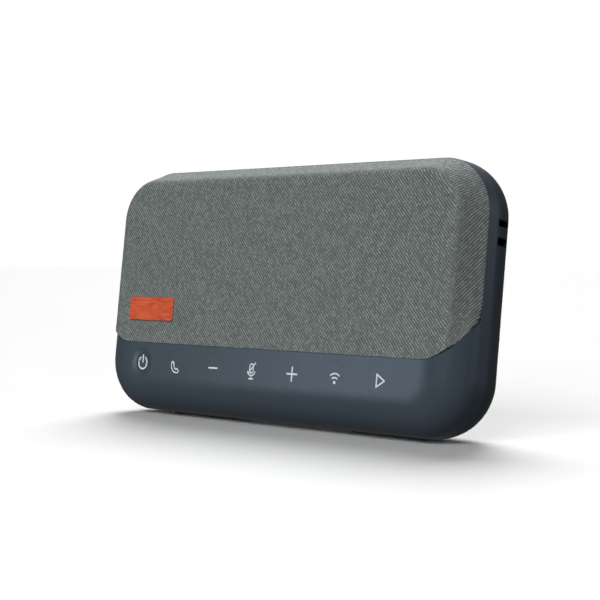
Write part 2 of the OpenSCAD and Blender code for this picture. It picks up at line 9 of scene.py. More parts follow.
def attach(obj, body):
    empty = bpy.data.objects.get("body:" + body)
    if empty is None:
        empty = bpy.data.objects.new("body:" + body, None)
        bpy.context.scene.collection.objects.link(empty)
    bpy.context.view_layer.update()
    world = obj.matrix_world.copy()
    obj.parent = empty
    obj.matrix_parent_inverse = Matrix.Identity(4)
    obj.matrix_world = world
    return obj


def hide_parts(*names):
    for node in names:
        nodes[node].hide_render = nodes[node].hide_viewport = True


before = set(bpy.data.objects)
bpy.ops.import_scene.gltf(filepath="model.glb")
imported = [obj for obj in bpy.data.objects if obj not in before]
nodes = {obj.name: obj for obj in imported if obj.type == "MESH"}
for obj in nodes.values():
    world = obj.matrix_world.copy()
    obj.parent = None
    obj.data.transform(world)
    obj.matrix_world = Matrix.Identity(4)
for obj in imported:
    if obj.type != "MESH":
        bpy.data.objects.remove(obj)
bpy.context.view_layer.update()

# ---------------------------------------------------------------------------
# The studio: a white sweep, a broad light in front and a stronger one above
# and behind. The camera stands low, to the right of the speakerphone.
# ---------------------------------------------------------------------------

MM = 0.001
LEAN = math.radians(7)
# The casing's half width, half height and corner radius, seen from the front.
HALF_W, HALF_H, CORNER_R = 91.0, 48.0, 20.5
# The radius of its front edge, the depth of its seam, and the radius of its back edge.
FRONT_R, SEAM, REAR_R = 11.5, 16.0, 17.2
# The rubber pad let into the back, which reaches furthest behind.
PAD_W, PAD_H, PAD_R, PAD_BACK, PAD_PROUD = 140.0, 57.0, 12.0, 33.2, 0.8
FOOT_CLEARANCE = 0.7

low_reach = max(
    (HALF_H - FRONT_R) * math.cos(LEAN) + FRONT_R * math.sin(LEAN) + FRONT_R,
    (HALF_H - REAR_R) * math.cos(LEAN) + SEAM * math.sin(LEAN) + REAR_R,
)
floor_below_middle = low_reach + FOOT_CLEARANCE
front_reach = FRONT_R * math.cos(LEAN) - (HALF_H - FRONT_R) * math.sin(LEAN) - FRONT_R
back_reach = PAD_H / 2 * math.sin(LEAN) + (PAD_BACK + PAD_PROUD) * math.cos(LEAN)
depth_middle = (front_reach + back_reach) / 2


def stood(x, up, deep):
    """A point of the casing, in millimetres along its own axes, set on its feet, in metres."""
    return Vector((
        x * MM,
        (deep * math.cos(LEAN) + up * math.sin(LEAN) - depth_middle) * MM,
        (up * math.cos(LEAN) - deep * math.sin(LEAN) + floor_below_middle) * MM,
    ))


def turned(x, up, deep):
    """A direction, turned as stood() turns a point."""
    return (stood(x, up, deep) - stood(0, 0, 0)).normalized()


def added(name, data):
    """A new object in the scene, at the origin."""
    thing = bpy.data.objects.new(name, data)
    bpy.context.scene.collection.objects.link(thing)
    return thing


CAMERA_FAR = 564.63
azimuth, elevation, roll = (math.radians(a) for a in (45.633, -3.552, 4.985))
away = (
    math.sin(azimuth) * math.cos(elevation),
    math.sin(elevation),
    -math.cos(azimuth) * math.cos(elevation),
)
back = turned(*away)
level = turned(math.cos(azimuth), 0, math.sin(azimuth))
upward = back.cross(level)
right = math.cos(roll) * level + math.sin(roll) * upward
over = back.cross(right)

camera_data = bpy.data.cameras.new("camera")
camera_data.sensor_width = 36
camera_data.lens = 92.29
camera_data.shift_x = 0.0567
camera_data.shift_y = -0.0158
camera_data.clip_start = 0.01
camera_data.clip_end = 50
camera = added("camera", camera_data)
camera.matrix_world = Matrix.Translation(stood(*(CAMERA_FAR * a for a in away))) @ Matrix(
    (right, over, back)
).transposed().to_4x4()
bpy.context.scene.camera = camera
bpy.context.scene.view_settings.view_transform = "Standard"


def sun(name, azimuth, height, spread, strength):
    """Broad light from far away. The azimuth runs from straight ahead towards the right."""
    lamp = bpy.data.lights.new(name, "SUN")
    lamp.energy = strength
    lamp.angle = math.radians(spread)
    light = added(name, lamp)
    light.rotation_euler = Vector((
        -math.sin(math.radians(azimuth)) * math.cos(math.radians(height)),
        math.cos(math.radians(azimuth)) * math.cos(math.radians(height)),
        -math.sin(math.radians(height)),
    )).to_track_quat("-Z", "Y").to_euler()
    return light


def reflected_box(name, place, width, height, power):
    """A lit panel facing the middle of the speakerphone, seen only in its gloss."""
    panel = bpy.data.lights.new(name, "AREA")
    panel.shape = "RECTANGLE"
    panel.size, panel.size_y, panel.energy = width, height, power
    light = added(name, panel)
    light.location = place
    light.rotation_euler = (
        Vector((0, 0, 0.05)) - light.location
    ).to_track_quat("-Z", "Y").to_euler()
    light.visible_diffuse = False


sun("front_light", 15, 28, 44, 2.2).visible_glossy = False
sun("top_light", 221, 51, 36, 3.5)
reflected_box("strip_box", (-0.70, -0.87, 0.07), 0.08, 0.3, 1.0)
reflected_box("side_box", (1.25, 0.95, 0.5), 1.0, 1.0, 2.6)

world = bpy.data.worlds.new("room")
world.use_nodes = True
background = world.node_tree.nodes["Background"].inputs
background["Color"].default_value = (1, 1, 1, 1)
background["Strength"].default_value = 0.09
bpy.context.scene.world = world


# Shader maths as expressions: one wrapper round a socket, and one method for
# any other node. Every material in the file is built with them.
class Value:
    def __init__(self, tree, socket):
        self.tree, self.socket = tree, socket

    def _maths(self, operation, *inputs):
        node = self.tree.nodes.new("ShaderNodeMath")
        node.operation = operation
        for slot, value in zip(node.inputs, inputs):
            if isinstance(value, Value):
                self.tree.links.new(value.socket, slot)
            else:
                slot.default_value = value
        return Value(self.tree, node.outputs[0])

    def __add__(self, other):
        return self._maths("ADD", self, other)

    def __radd__(self, other):
        return self._maths("ADD", other, self)

    def __sub__(self, other):
        return self._maths("SUBTRACT", self, other)

    def __rsub__(self, other):
        return self._maths("SUBTRACT", other, self)

    def __mul__(self, other):
        return self._maths("MULTIPLY", self, other)

    def __rmul__(self, other):
        return self._maths("MULTIPLY", other, self)

    def __pow__(self, other):
        return self._maths("POWER", self, other)

    def whole(self):
        return self._maths("FLOOR", self)

    def part(self):
        return self._maths("FRACT", self)

    def sine(self):
        return self._maths("SINE", self)


class Finish:
    """A material in the making, round its Principled shader."""

    def __init__(self, name, **surface):
        self.material = bpy.data.materials.new(name)
        self.material.use_nodes = True
        self.tree = self.material.node_tree
        self.shader = self.tree.nodes["Principled BSDF"]
        for socket, value in surface.items():
            self.set(socket.replace("_", " "), value)

    def set(self, socket, value):
        slot = self.shader.inputs[socket]
        if isinstance(value, Value):
            self.tree.links.new(value.socket, slot)
        elif isinstance(value, tuple) and len(value) == 3:
            slot.default_value = (*value, 1)
        else:
            slot.default_value = value

    def node(self, kind, output=0, settings=None, **inputs):
        """Any node. An input goes by its name, or by its number as i0, i1 and so on."""
        node = self.tree.nodes.new(kind)
        for name, value in (settings or {}).items():
            if name == "stops":
                ramp = node.color_ramp
                while len(ramp.elements) < len(value):
                    ramp.elements.new(0.5)
                for element, (place, colour) in zip(ramp.elements, value):
                    element.position = place
                    element.color = (*colour, 1)
            else:
                setattr(node, name, value)
        for name, value in inputs.items():
            slot = node.inputs[int(name[1:])] if name[1:].isdigit() else node.inputs[
                name.replace("_", " ")
            ]
            if isinstance(value, Value):
                self.tree.links.new(value.socket, slot)
            elif isinstance(value, tuple) and len(value) == 3 and slot.type == "RGBA":
                slot.default_value = (*value, 1)
            else:
                slot.default_value = value
        return Value(self.tree, node.outputs[output])

    def place(self):
        """The point on the piece, in millimetres."""
        spot = self.node("ShaderNodeTexCoord", "Object")
        return self.node(
            "ShaderNodeVectorMath", settings={"operation": "SCALE"}, i0=spot, Scale=1000.0
        )

    def noise(self, where, size, detail=2.0, roughness=0.5):
        """Smooth chance, from 0 to 1, with patches of a size in millimetres."""
        return self.node(
            "ShaderNodeTexNoise", "Fac", Vector=where, Scale=1.0 / size, Detail=detail,
            Roughness=roughness,
        )

    def mix(self, share, first, second):
        return self.node(
            "ShaderNodeMix", 2, settings={"data_type": "RGBA"}, i0=share, i6=first, i7=second
        )

    def bump(self, height, depth_mm, strength=1.0):
        self.set("Normal", self.node(
            "ShaderNodeBump", Height=height, Distance=depth_mm * MM, Strength=strength
        ))


def moulded(name, colour, roughness, grain=0.02, mottle=0.06):
    """Injection-moulded plastic: spark-eroded grain, and a slight unevenness of tone."""
    finish = Finish(name, Specular_IOR_Level=0.5, Specular_Tint=(0.6, 0.8, 1.0))
    spot = finish.place()
    broad = finish.noise(spot, 22.0, 3.0)
    fine = finish.noise(spot, 0.35, 2.0)
    darker = tuple(c * (1 - mottle) for c in colour)
    lighter = tuple(c * (1 + mottle) for c in colour)
    finish.set("Base Color", finish.mix(broad, darker, lighter))
    finish.set("Roughness", roughness - 0.05 + 0.06 * broad + 0.04 * fine)
    finish.bump(fine, grain)
    return finish.material


def meshed(bm, name):
    """The mesh under construction, finished, as an object at the origin."""
    mesh = bpy.data.meshes.new(name)
    bm.to_mesh(mesh)
    bm.free()
    return added(name, mesh)


FLOOR_REACH, SWEEP_R = 6.0, 9.0

floor_finish = Finish(
    "pale_floor", Base_Color=(0.985, 0.985, 0.985), Specular_IOR_Level=0.25
)
floor_spot = floor_finish.place()
floor_finish.set("Roughness", 0.3 + 0.05 * floor_finish.noise(floor_spot, 60.0))
bm = bmesh.new()
bmesh.ops.create_grid(bm, x_segments=1, y_segments=1, size=FLOOR_REACH)
floor = meshed(bm, "floor")
floor.data.materials.append(floor_finish.material)

sweep_finish = Finish(
    "white_sweep", Base_Color=(0, 0, 0), Emission_Color=(1, 1, 1), Emission_Strength=1.0
)
bm = bmesh.new()
bmesh.ops.create_uvsphere(bm, u_segments=48, v_segments=24, radius=SWEEP_R)
sweep = meshed(bm, "sweep")
sweep.data.materials.append(sweep_finish.material)
sweep.visible_shadow = False

for staged in (floor, sweep):
    staged.visible_diffuse = False
    staged.visible_glossy = False

# ---------------------------------------------------------------------------
# The front housing: one moulding with the control strip, the rounded lower
# edge and the rim round the fabric. Its edges are broken by a quarter of a
# millimetre, as a mould leaves them.
# ---------------------------------------------------------------------------

NAVY, NAVY_ROUGHNESS = (0.057, 0.076, 0.097), 0.3
EDGE_BREAK = 0.25
WELD, FLAT_WITHIN = 0.002, math.radians(0.3)

navy = moulded("navy_moulding", NAVY, NAVY_ROUGHNESS)


def welded(node, name):
    """A copy of a CAD node with its triangles joined up and its flat faces made whole."""
    bm = bmesh.new()
    bm.from_mesh(nodes[node].data)
    bmesh.ops.remove_doubles(bm, verts=bm.verts, dist=WELD * MM)
    bmesh.ops.dissolve_limit(
        bm, angle_limit=FLAT_WITHIN, verts=bm.verts, edges=bm.edges,
        use_dissolve_boundaries=False, delimit=set(),
    )
    return meshed(bm, name)


def apply_modifiers(piece):
    """Makes a piece's modifiers part of its mesh."""
    bpy.context.view_layer.update()
    graph = bpy.context.evaluated_depsgraph_get()
    mesh = bpy.data.meshes.new_from_object(piece.evaluated_get(graph))
    piece.modifiers.clear()
    piece.data = mesh


def along_casing(points):
    """Points of the row frame, in metres, as x, height and depth along the casing, in mm."""
    p = np.asarray(points) / MM - np.array(stood(0, 0, 0)) / MM
    return np.stack([
        p[:, 0],
        p[:, 1] * math.sin(LEAN) + p[:, 2] * math.cos(LEAN),
        p[:, 1] * math.cos(LEAN) - p[:, 2] * math.sin(LEAN),
    ], axis=1)


# The shading turns from the flat front to the rounded edge over this far each side
# of their line, and an edge this near to the skin is on it.
JOIN, ON_SKIN = 5.5, 0.05


def outside(points):
    """How far points lie from the casing's ideal outer skin, and the skin's normals there."""
    x, up, deep = points.T
    reach = np.stack([
        x - np.clip(x, CORNER_R - HALF_W, HALF_W - CORNER_R),
        up - np.clip(up, CORNER_R - HALF_H, HALF_H - CORNER_R),
    ], axis=1)
    u = np.linalg.norm(reach, axis=1)
    sideways = reach / np.maximum(u, 1e-6)[:, None]
    radius = np.where(deep < SEAM, FRONT_R, REAR_R)
    centre_u = CORNER_R - radius
    centre_deep = np.where(deep < SEAM, np.clip(deep, FRONT_R, SEAM), SEAM)
    out_u = np.maximum(u - centre_u, 0)
    out_deep = deep - centre_deep
    length = np.maximum(np.hypot(out_u, out_deep), 1e-6)
    lean_out, lean_deep = out_u / length, out_deep / length
    # The front runs into its rounded edge without a line where the two meet.
    from_line = u - centre_u
    joining = (deep < FRONT_R) & (np.abs(from_line) < JOIN)
    eased = (from_line + JOIN) ** 2 / (4 * JOIN) / FRONT_R
    lean_out = np.where(joining, eased, lean_out)
    lean_deep = np.where(joining, -np.sqrt(1 - np.minimum(eased, 1) ** 2), lean_deep)
    normal = np.concatenate([sideways * lean_out[:, None], lean_deep[:, None]], 1)
    return np.abs(length - radius), normal


def row_directions(normals):
    """Directions along the casing's axes, turned into the row frame."""
    x, up, deep = normals.T
    return np.stack([
        x,
        deep * math.cos(LEAN) + up * math.sin(LEAN),
        up * math.cos(LEAN) - deep * math.sin(LEAN),
    ], axis=1)


def smooth(piece, sharp_from):
    """Smooth shading, with a line only where two faces meet at more than some degrees."""
    for face in piece.data.polygons:
        face.use_smooth = True
    piece.data.set_sharp_from_angle(angle=math.radians(sharp_from))


LIES_ON, FACES_ALIKE = 0.03, math.cos(math.radians(14))
SHARP_FROM = 32


def true_shading(piece, ideal):
    """Shades each face that lies on an ideal surface with that surface's own normals."""
    smooth(piece, SHARP_FROM)
    mesh = piece.data
    corners = np.array([n.vector for n in mesh.corner_normals])
    spots = np.array([v.co for v in mesh.vertices])
    vertex = np.array([loop.vertex_index for loop in mesh.loops])
    flat = np.array([face.normal for face in mesh.polygons])
    owner = np.repeat(np.arange(len(mesh.polygons)), [len(f.vertices) for f in mesh.polygons])
    off, normal = ideal(along_casing(spots))
    normal = row_directions(normal)
    alike = (normal[vertex] * flat[owner]).sum(1) > FACES_ALIKE
    near = (off[vertex] < LIES_ON) & alike
    corners[near] = normal[vertex[near]]
    mesh.normals_split_custom_set([tuple(n) for n in corners])


CORNER_FROM = math.radians(30)


def break_edges(piece, width, chosen, segments=2):
    """Rounds the edges that chosen() picks by their middle points along the casing."""
    bm = bmesh.new()
    bm.from_mesh(piece.data)
    weight = bm.edges.layers.float.new("bevel_weight_edge")
    sharp = [
        e for e in bm.edges
        if len(e.link_faces) == 2 and e.calc_face_angle(0) > CORNER_FROM
    ]
    middles = along_casing([(e.verts[0].co + e.verts[1].co) / 2 for e in sharp])
    for edge, pick in zip(sharp, chosen(middles)):
        edge[weight] = float(pick)
    bm.to_mesh(piece.data)
    bm.free()
    bevel = piece.modifiers.new("edge", "BEVEL")
    bevel.width = width * MM
    bevel.segments = segments
    bevel.limit_method = "WEIGHT"
    apply_modifiers(piece)


IN_FRONT, FACING_FRONT = 0.01, 0.9999


def rule(piece, columns, rows):
    """Cuts the flat front of a piece along lines, so that its shading can turn across it."""
    bm = bmesh.new()
    bm.from_mesh(piece.data)
    front = turned(0, 0, -1)
    cuts = [(stood(x, 0, 0), turned(1, 0, 0)) for x in columns]
    cuts += [(stood(0, up, 0), turned(0, 1, 0)) for up in rows]
    for middle, normal in cuts:
        flat = [
            f for f in bm.faces
            if f.normal.dot(front) > FACING_FRONT
            and abs(along_casing([f.calc_center_median()])[0, 2]) < IN_FRONT
        ]
        edges = {e for f in flat for e in f.edges}
        points = {v for f in flat for v in f.verts}
        bmesh.ops.bisect_plane(
            bm, geom=[*points, *edges, *flat], plane_co=middle, plane_no=normal, dist=1e-7
        )
    bm.to_mesh(piece.data)
    bm.free()


STRIP_ROWS = [-23.5 - 1.3 * i for i in range(11)]
END_COLUMNS = [side * (63.5 + 1.5 * i) for side in (-1, 1) for i in range(11)]


def fitted(piece, material, body="casing", stands_for=None):
    """Finishes a piece, mounts it on its body, and hides the CAD node it stands for."""
    piece.data.materials.clear()
    piece.data.materials.append(material)
    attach(piece, body)
    if stands_for:
        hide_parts(stands_for)


KEY_UP, KEY_HOLE_R = -29.8, 5.85
KEY_X = [-66.7 + 20.9 * i for i in range(7)]


def housing_edges(middles):
    """The edges on the outer skin, apart from the crisp ones round the keys."""
    at_key = np.zeros(len(middles), bool)
    for x in KEY_X:
        at_key |= np.hypot(middles[:, 0] - x, middles[:, 1] - KEY_UP) < KEY_HOLE_R + EDGE_BREAK
    return (outside(middles)[0] < ON_SKIN) & ~at_key


housing = welded("front_housing", "housing_shell")
break_edges(housing, EDGE_BREAK, housing_edges)
rule(housing, END_COLUMNS, STRIP_ROWS)
true_shading(housing, outside)
fitted(housing, navy, stands_for="front_housing")

# ---------------------------------------------------------------------------
# The rear cover: a deep, rounded moulding, a shade darker than the front, with
# two slots in its right end for a carrying loop. It closes on the front's seam.
# ---------------------------------------------------------------------------

rear_navy = moulded("rear_moulding", (0.040, 0.052, 0.066), 0.38)
cover = welded("rear_cover", "cover_shell")
break_edges(cover, EDGE_BREAK, lambda middles: outside(middles)[0] < ON_SKIN)
true_shading(cover, outside)
fitted(cover, rear_navy, stands_for="rear_cover")

# ---------------------------------------------------------------------------
# The grille's cloth: a twill of mixed grey yarns, glued round the frame. It
# is flat in front and slopes back to the rim at the top and the ends.
# ---------------------------------------------------------------------------

SLOPE_W, SLOPE_D, SLOPE_END = 5.2, 11.1, 0.12
SLOPE = math.atan2(SLOPE_D, SLOPE_W - SLOPE_END)
CLOTH_LOW, LOW_R = -21.8, 16.2
CREASE_R = 3.4
CREASE_RUN = CREASE_R * math.tan(SLOPE / 2)
EDGE_R, TURN_IN, CLOTH_T = 0.15, 3.0, 0.7
# Along its lower corners the cloth swells out to just under the shell: how far
# above the corners that starts, the height it takes, how far in, and the gap left.
SWELL_ABOVE, SWELL_RUN, SWELL_IN, SWELL_GAP = 4.0, 6.0, 5.0, 0.15


def slope_depth(inset):
    """Depth of the cloth at a distance in from the casing's outline, with a soft crease."""
    straight = (SLOPE_W - inset) * math.tan(SLOPE)
    start, end = SLOPE_W + CREASE_RUN, SLOPE_W - CREASE_RUN * math.cos(SLOPE)
    bend = CREASE_R - np.sqrt(np.maximum(CREASE_R**2 - (start - inset) ** 2, 0))
    return np.where(inset >= start, 0, np.where(inset <= end, straight, bend))


def shell_depth(inset):
    """Depth of the housing's front at a distance in from the outline."""
    return FRONT_R - np.sqrt(np.maximum(FRONT_R**2 - np.maximum(FRONT_R - inset, 0) ** 2, 0))


def ring_round(corners, steps, along_sides):
    """Points round a shape with four rounded corners, (x, up, radius) each, from the top right."""
    ring = []
    for i, (x, up, r) in enumerate(corners):
        for k in range(steps + 1):
            a = math.radians(90 * i + 90 * k / steps)
            ring.append((x + r * math.cos(a), up + r * math.sin(a)))
        next_x, next_up, next_r = corners[(i + 1) % 4]
        a = math.radians(90 * i + 90)
        end = np.array(ring[-1])
        to = np.array((next_x + next_r * math.cos(a), next_up + next_r * math.sin(a)))
        count = along_sides[i]
        ring += [tuple(end + (to - end) * k / count) for k in range(1, count)]
    return np.array(ring)


def cloth_ring(inside):
    """The cloth's edge seen from the front, drawn in from its boundary."""
    top_r, low_r = CORNER_R - SLOPE_END - inside, LOW_R - SLOPE_END - inside
    return ring_round([
        (HALF_W - CORNER_R, HALF_H - CORNER_R, top_r),
        (CORNER_R - HALF_W, HALF_H - CORNER_R, top_r),
        (LOW_R - HALF_W, CLOTH_LOW + LOW_R, low_r),
        (HALF_W - LOW_R, CLOTH_LOW + LOW_R, low_r),
    ], 26, (90, 20, 90, 20))


# The ribs lean at one angle along the ends, and turn upright round each corner.
RIB_ANGLE = math.radians(47)
RIB_TURN_EASE = 2.2
MAP_SCALE = 0.01
CREASE_IN = SLOPE_W + 0.5
turn_steps = np.linspace(0, math.pi / 2, 181)
rib_turn = RIB_ANGLE * (1 - turn_steps / (math.pi / 2)) ** RIB_TURN_EASE
bend_step = (CORNER_R - CREASE_IN) * (turn_steps[1] - turn_steps[0])
bend_across = np.concatenate([[0], np.cumsum(np.cos(rib_turn[1:]) * bend_step)])
bend_along = np.concatenate([[0], np.cumsum(np.sin(rib_turn[1:]) * bend_step)])


def weave_in_front(x, up):
    """Across and along the twill's ribs, in the flat front."""
    s, c = math.sin(RIB_ANGLE), math.cos(RIB_ANGLE)
    return x * s + up * c, x * c - up * s


def weave_on_slope(x, up, inset):
    """The same on the slopes: mirrored at the ends, fanning round the corners to the top."""
    beyond = np.maximum(CREASE_IN - inset, 0) / math.cos(SLOPE)
    side_x, over = np.abs(x) - (HALF_W - CORNER_R), up - (HALF_H - CORNER_R)
    turn = np.arctan2(np.maximum(over, 0), np.maximum(side_x, 1e-6))
    turn = np.where(over <= 0, 0, np.where(side_x <= 0, math.pi / 2, turn))
    angle = np.interp(turn, turn_steps, rib_turn)
    on_side, on_top = np.minimum(over, 0), np.maximum(-side_x, 0)
    across = (
        np.interp(turn, turn_steps, bend_across) + on_side * math.cos(RIB_ANGLE) + on_top
        - beyond * np.sin(angle)
    )
    along = (
        np.interp(turn, turn_steps, bend_along) + on_side * math.sin(RIB_ANGLE)
        + beyond * np.cos(angle)
    )
    return across, along


rings = []
for inside in (
    0, 0.08, 0.2, 0.4, 0.65, 0.95, 1.3, 1.7, 2.1, 2.5, 2.9, 3.3, 3.7, 4.1, 4.5, 4.9, 5.25,
    5.58, 5.9, 6.3, 6.7, 7.1, 7.5, 8.0, 8.7, 9.7, 11, 12.5, 14, 15.2,
):
    x, up = cloth_ring(inside).T
    reach_x = np.abs(x) - (HALF_W - CORNER_R)
    reach_up = up - (HALF_H - CORNER_R)
    inset = np.where(
        (reach_x > 0) & (reach_up > 0), CORNER_R - np.hypot(reach_x, reach_up),
        np.minimum(HALF_W - np.abs(x), HALF_H - up),
    )
    depth = slope_depth(inset)
    low = np.clip((CLOTH_LOW + LOW_R + SWELL_ABOVE - up) / SWELL_RUN, 0, 1)
    near_shell = low * np.clip(1 - inside / SWELL_IN, 0, 1)
    depth += near_shell * np.minimum(shell_depth(inset) - depth - SWELL_GAP, 0)
    tucked = EDGE_R - math.sqrt(max(EDGE_R**2 - max(EDGE_R - inside, 0) ** 2, 0))
    sloping = np.clip(depth / 4, 0, 1)
    depth = np.minimum(depth + tucked * (1 - 0.8 * sloping), SLOPE_D)
    rings.append(np.stack([x, up, depth, inset], axis=1))
wall = rings[0].copy()
wall[:, 2] = np.maximum(wall[:, 2] + 0.02, np.minimum(wall[:, 2] + TURN_IN, SLOPE_D))
rings.insert(0, wall)

count = len(rings[0])
bm = bmesh.new()
sheet_uv = bm.loops.layers.uv.new("weave")
rows = [[bm.verts.new(stood(*p[:3])) for p in ring] for ring in rings]
spot_of = {v: rings[j][i] for j, row in enumerate(rows) for i, v in enumerate(row)}
for j in range(len(rows) - 1):
    for i in range(count):
        k = (i + 1) % count
        bm.faces.new((rows[j][i], rows[j + 1][i], rows[j + 1][k], rows[j][k]))
bm.faces.new(rows[-1][::-1])
for face in bm.faces:
    face.smooth = True
    spots = np.array([spot_of[v] for v in face.verts])
    sloped = spots[:, 3].mean() < CREASE_IN
    woven = weave_on_slope(*spots[:, [0, 1, 3]].T) if sloped else weave_in_front(*spots[:, :2].T)
    for loop, across, along in zip(face.loops, *woven):
        loop[sheet_uv].uv = (across * MAP_SCALE, along * MAP_SCALE)
bmesh.ops.recalc_face_normals(bm, faces=bm.faces)
cloth = meshed(bm, "grille_cloth")
if cloth.data.polygons[-1].normal.y > 0:
    cloth.data.flip_normals()
thickness = cloth.modifiers.new("thickness", "SOLIDIFY")
thickness.thickness = CLOTH_T * MM
thickness.offset = -1
apply_modifiers(cloth)

# A rib's width and a stitch's length, and how far each rib's stitches are set back.
RIB, STITCH, STAGGER = 0.95, 1.3, -0.212

twill = Finish("grey_twill", Roughness=0.9, Specular_IOR_Level=0.25)
flat_cloth = twill.node("ShaderNodeUVMap", settings={"uv_map": "weave"})
spot = twill.place()
waver = twill.noise(spot, 7.0) - 0.5
ribs = twill.node("ShaderNodeSeparateXYZ", "X", i0=flat_cloth) * (1 / MAP_SCALE / RIB)
ribs = ribs + waver * 0.6
length = twill.node("ShaderNodeSeparateXYZ", "Y", i0=flat_cloth) * (1 / MAP_SCALE / STITCH)
rib_number = ribs.whole()
stitches = length + rib_number * STAGGER
pick = twill.node("ShaderNodeCombineXYZ", i0=rib_number, i1=stitches.whole())
chance = twill.node(
    "ShaderNodeTexWhiteNoise", "Value", settings={"noise_dimensions": "2D"}, i0=pick
)
rib_round = (ribs.part() * math.pi).sine()
stitch_round = (stitches.part() * math.pi).sine() ** 0.6
yarn = rib_round * (0.75 + 0.25 * stitch_round)
fuzz = twill.noise(spot, 0.38, 2.0)
blotch = twill.noise(spot, 12.0, 3.0)
tone = 0.16 + 0.7 * yarn * (0.72 + 0.56 * chance) + 1.1 * (fuzz - 0.5) + 0.08 * (blotch - 0.5)
twill.set("Base Color", twill.node("ShaderNodeValToRGB", settings={"stops": [
    (0.0, (0.045, 0.052, 0.050)), (0.35, (0.134, 0.151, 0.146)),
    (0.75, (0.228, 0.257, 0.249)), (1.0, (0.34, 0.38, 0.37)),
]}, Fac=tone))
twill.bump(yarn + 0.3 * fuzz, 0.12, 0.7)
fitted(cloth, twill.material, stands_for="grille_fabric")

# ---------------------------------------------------------------------------
# The tag: a short piece of orange-red woven tape, folded and stitched down
# on the cloth at its lower left.
# ---------------------------------------------------------------------------

TAG_X, TAG_UP, TAG_W, TAG_H, TAG_T, TAG_R = -63.3, -8.5, 26.0, 9.2, 0.75, 0.9
TAG_EDGE = [
    (0.1, 0.25), (0.0, -0.12), (0.05, -0.35), (0.18, -0.56), (0.42, -0.70),
    (0.8, -TAG_T), (1.4, -TAG_T),
]
LEAST_CORNER_R = 0.05


def slab(name, x, up, width, height, radius, steps, along_sides, edge):
    """A flat piece with rounded corners. Its edge is a list of inset and depth, end to end."""
    bm = bmesh.new()
    layers = []
    for inset, deep in edge:
        r = max(radius - inset, LEAST_CORNER_R)
        w, h = width / 2 - inset - r, height / 2 - inset - r
        ring = ring_round(
            [(w, h, r), (-w, h, r), (-w, -h, r), (w, -h, r)], steps, [along_sides] * 4
        )
        layers.append([bm.verts.new(stood(x + a, up + b, deep)) for a, b in ring])
    for lower, upper in zip(layers, layers[1:]):
        for i in range(len(lower)):
            k = (i + 1) % len(lower)
            bm.faces.new((lower[i], lower[k], upper[k], upper[i]))
    bm.faces.new(layers[-1])
    bm.faces.new(layers[0][::-1])
    bmesh.ops.recalc_face_normals(bm, faces=bm.faces)
    return meshed(bm, name)


tag = slab("woven_tag", TAG_X, TAG_UP, TAG_W, TAG_H, TAG_R, 6, 12, TAG_EDGE)
for face in tag.data.polygons:
    face.use_smooth = True

# How far apart the tape's threads lie, along it and across it.
WARP, WEFT = 0.42, 0.36

tape = Finish("orange_tape", Roughness=0.85, Specular_IOR_Level=0.25)
spot = tape.place()
along = tape.node("ShaderNodeSeparateXYZ", "X", i0=spot)
height = tape.node("ShaderNodeSeparateXYZ", "Z", i0=spot)
warp = (along * (math.pi / WARP)).sine()
weft = (height * (math.pi / WEFT)).sine()
thread = warp * weft
worn = tape.noise(spot, 0.5, 3.0)
drawn = tape.node(
    "ShaderNodeVectorMath", settings={"operation": "MULTIPLY"}, i0=spot, i1=(0.16, 1, 1)
)
streaks = tape.noise(drawn, 0.7, 3.0)
patchy = tape.noise(spot, 4.0, 2.0)
tape.set("Base Color", tape.mix(
    0.5 + 0.2 * thread + 0.8 * (worn - 0.5) + 1.3 * (streaks - 0.5) + 0.8 * (patchy - 0.5),
    (0.55, 0.060, 0.026), (0.98, 0.200, 0.085),
))
tape.bump(thread * 0.5 + worn, 0.12, 0.7)
fitted(tag, tape.material, stands_for="fabric_tag")

# ---------------------------------------------------------------------------
# The keys: seven round plungers of the same plastic as the strip, flush with
# it. The power key is dished. A pale inlay in each says what it does.
# ---------------------------------------------------------------------------

KEYS = ["power", "call", "volume_down", "microphone", "volume_up", "wireless", "play"]
KEY_R, KEY_FILL_R, KEY_CUT, DISH = 5.7, 5.81, 3.0, 0.5
DISH_R = (KEY_R**2 + DISH**2) / (2 * DISH)

key_navy = moulded("key_moulding", NAVY, NAVY_ROUGHNESS)


def dressed(material, *names):
    """Gives carried-over CAD nodes a finish."""
    for name in names:
        for layer in nodes[name].material_slots:
            layer.material = material


ink = Finish("pale_inlay", Roughness=0.5)
ink_spot = ink.place()
ink_tone = ink.noise(ink_spot, 1.5)
ink.set("Base Color", ink.mix(ink_tone, (0.78, 0.84, 0.90), (0.88, 0.94, 1.0)))
ink.bump(ink.noise(ink_spot, 0.2), 0.01)

for name, key_x in zip(KEYS, KEY_X):
    button = welded("key_" + name, name + "_key")
    spots = along_casing([v.co for v in button.data.vertices])
    centre = np.array((key_x, KEY_UP))
    radial = spots[:, :2] - centre
    # The key is grown a little towards its hole, which leaves a hairline round it.
    for vertex, place, out in zip(button.data.vertices, spots, radial):
        far = np.linalg.norm(out)
        if abs(far - KEY_R) < LIES_ON:
            x, up = centre + out / far * KEY_FILL_R
            vertex.co = stood(x, up, place[2])

    def key_face(points, x=key_x, dished=name == "power"):
        """The key's ideal front: the strip's own, or the power key's shallow dish."""
        if not dished:
            return np.abs(points[:, 2]), outside(points)[1]
        to_centre = np.array((x, KEY_UP, DISH - DISH_R)) - points
        far = np.linalg.norm(to_centre, axis=1)
        return np.abs(far - DISH_R), to_centre / far[:, None]

    rule(button, [key_x + KEY_CUT * k for k in (-1, 0, 1)], STRIP_ROWS)
    true_shading(button, key_face)
    fitted(button, key_navy, "button_" + name, "key_" + name)
    dressed(ink.material, "icon_" + name)

# ---------------------------------------------------------------------------
# What holds the case: a rubber cord in the joint between the two mouldings,
# four zinc-plated screws under the pad, and two feet of the same rubber.
# ---------------------------------------------------------------------------

FOOT_EDGE, RUBBER_SHARP_FROM = 0.5, 40

